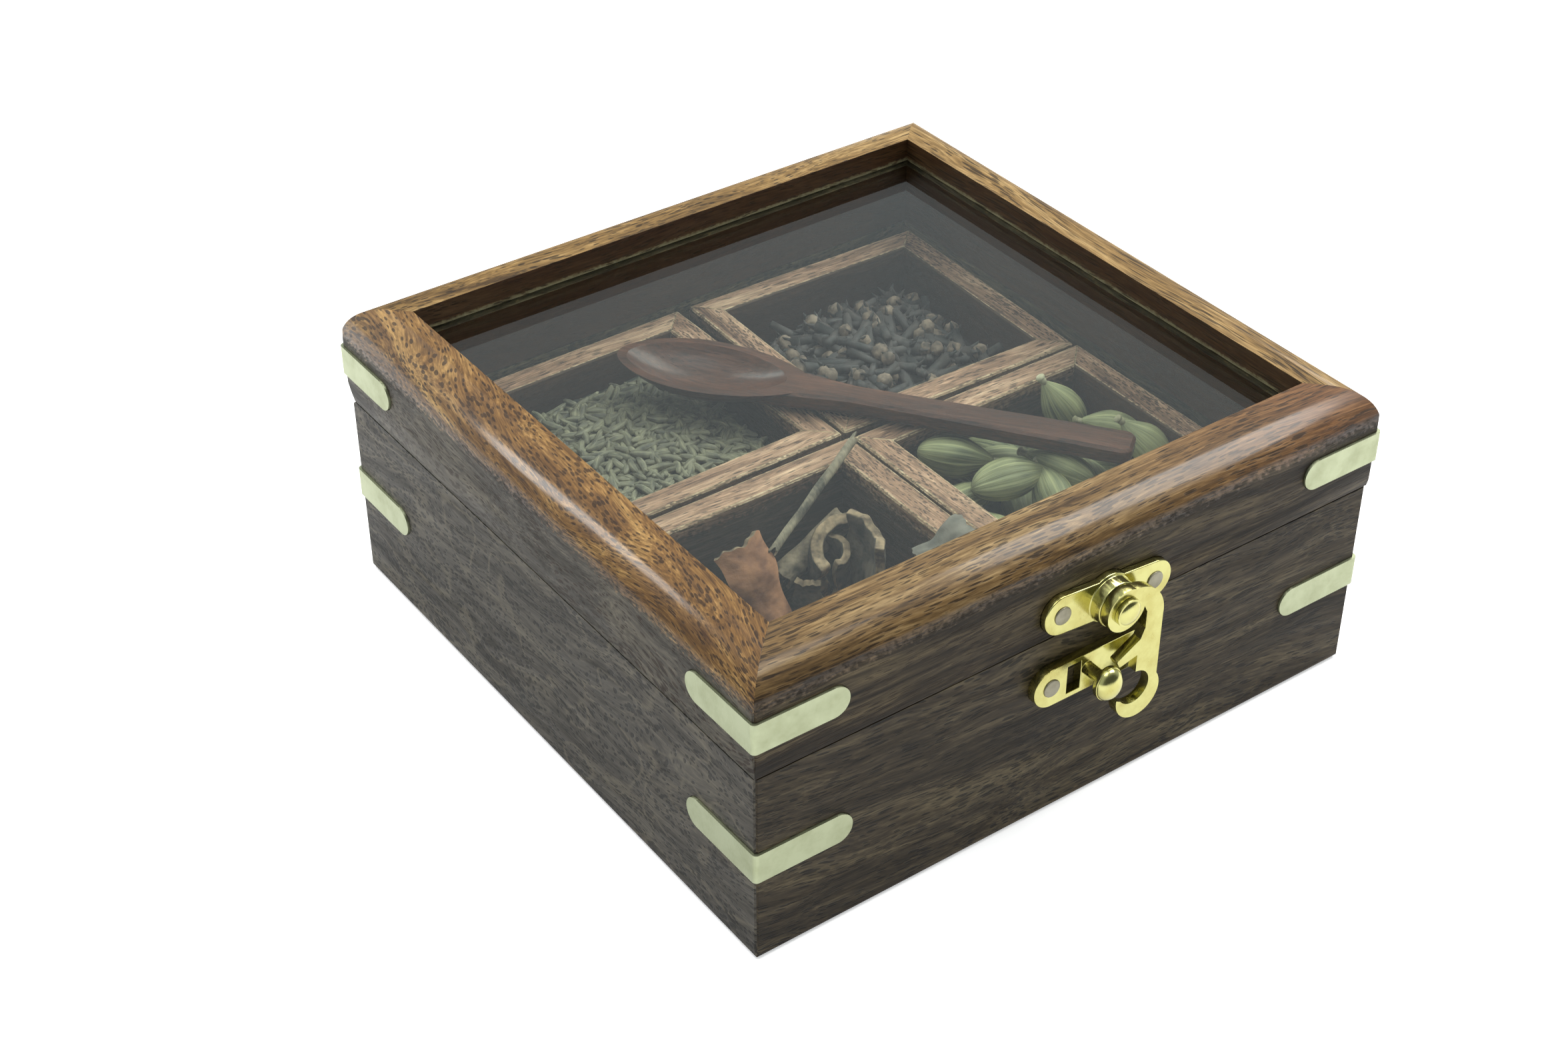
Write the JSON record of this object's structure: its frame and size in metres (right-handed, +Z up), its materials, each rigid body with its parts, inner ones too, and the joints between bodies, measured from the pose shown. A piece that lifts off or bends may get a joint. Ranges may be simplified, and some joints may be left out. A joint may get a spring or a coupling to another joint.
{
  "type": "hinged spice box",
  "caption": "Square hardwood spice box with a glazed hinged lid, brass corner straps, a swing-hook latch, loose inner trays and a wooden spoon",
  "frame": {"origin": "centre of the box's underside", "axes": "+X right, +Y towards the hinges (the latch is on the -Y face), +Z up"},
  "size_m": [0.154, 0.1583, 0.0679],
  "materials": {
    "case_wood": "waxed, satin",
    "tray_wood": "sanded",
    "spoon_wood": "oiled, satin",
    "brass": "polished",
    "glass": "clear, polished"
  },
  "bodies": {
    "base": {"base_back_wall": "case_wood", "base_bottom_panel": "case_wood", "base_front_wall": "case_wood", "base_left_wall": "case_wood", "base_right_wall": "case_wood", "base_strip_back_left": "brass", "base_strip_back_right": "brass", "base_strip_front_left": "brass", "base_strip_front_right": "brass", "catch_plate": "brass", "hinge_left_base_leaf": "brass", "hinge_left_pin": "brass", "hinge_right_base_leaf": "brass", "hinge_right_pin": "brass", "spoon": "spoon_wood", "tray_cardamom_back_wall": "tray_wood", "tray_cardamom_floor": "tray_wood", "tray_cardamom_front_wall": "tray_wood", "tray_cardamom_left_wall": "tray_wood", "tray_cardamom_right_wall": "tray_wood", "tray_cinnamon_back_wall": "tray_wood", "tray_cinnamon_floor": "tray_wood", "tray_cinnamon_front_wall": "tray_wood", "tray_cinnamon_left_wall": "tray_wood", "tray_cinnamon_right_wall": "tray_wood", "tray_cloves_back_wall": "tray_wood", "tray_cloves_floor": "tray_wood", "tray_cloves_front_wall": "tray_wood", "tray_cloves_left_wall": "tray_wood", "tray_cloves_right_wall": "tray_wood", "tray_cumin_back_wall": "tray_wood", "tray_cumin_floor": "tray_wood", "tray_cumin_front_wall": "tray_wood", "tray_cumin_left_wall": "tray_wood", "tray_cumin_right_wall": "tray_wood"},
    "lid": {"hinge_left_lid_leaf": "brass", "hinge_right_lid_leaf": "brass", "hook_plate": "brass", "hook_rivet": "brass", "lid_back_rail": "case_wood", "lid_front_rail": "case_wood", "lid_glass": "glass", "lid_left_rail": "case_wood", "lid_right_rail": "case_wood", "lid_strip_back_left": "brass", "lid_strip_back_right": "brass", "lid_strip_front_left": "brass", "lid_strip_front_right": "brass"},
    "hook": {"hook_arm": "brass"}
  },
  "joints": [
    {"name": "lid_hinge", "type": "hinge", "parent": "base", "child": "lid", "pos_m": [0, 0.073, 0.04465], "axis": [-1, 0, 0], "range_deg": [0, 110]},
    {"name": "hook_swing", "type": "hinge", "parent": "lid", "child": "hook", "pos_m": [0.0042, -0.08035, 0.04985], "axis": [0, 1, 0], "range_deg": [-290, 25]}
  ]
}
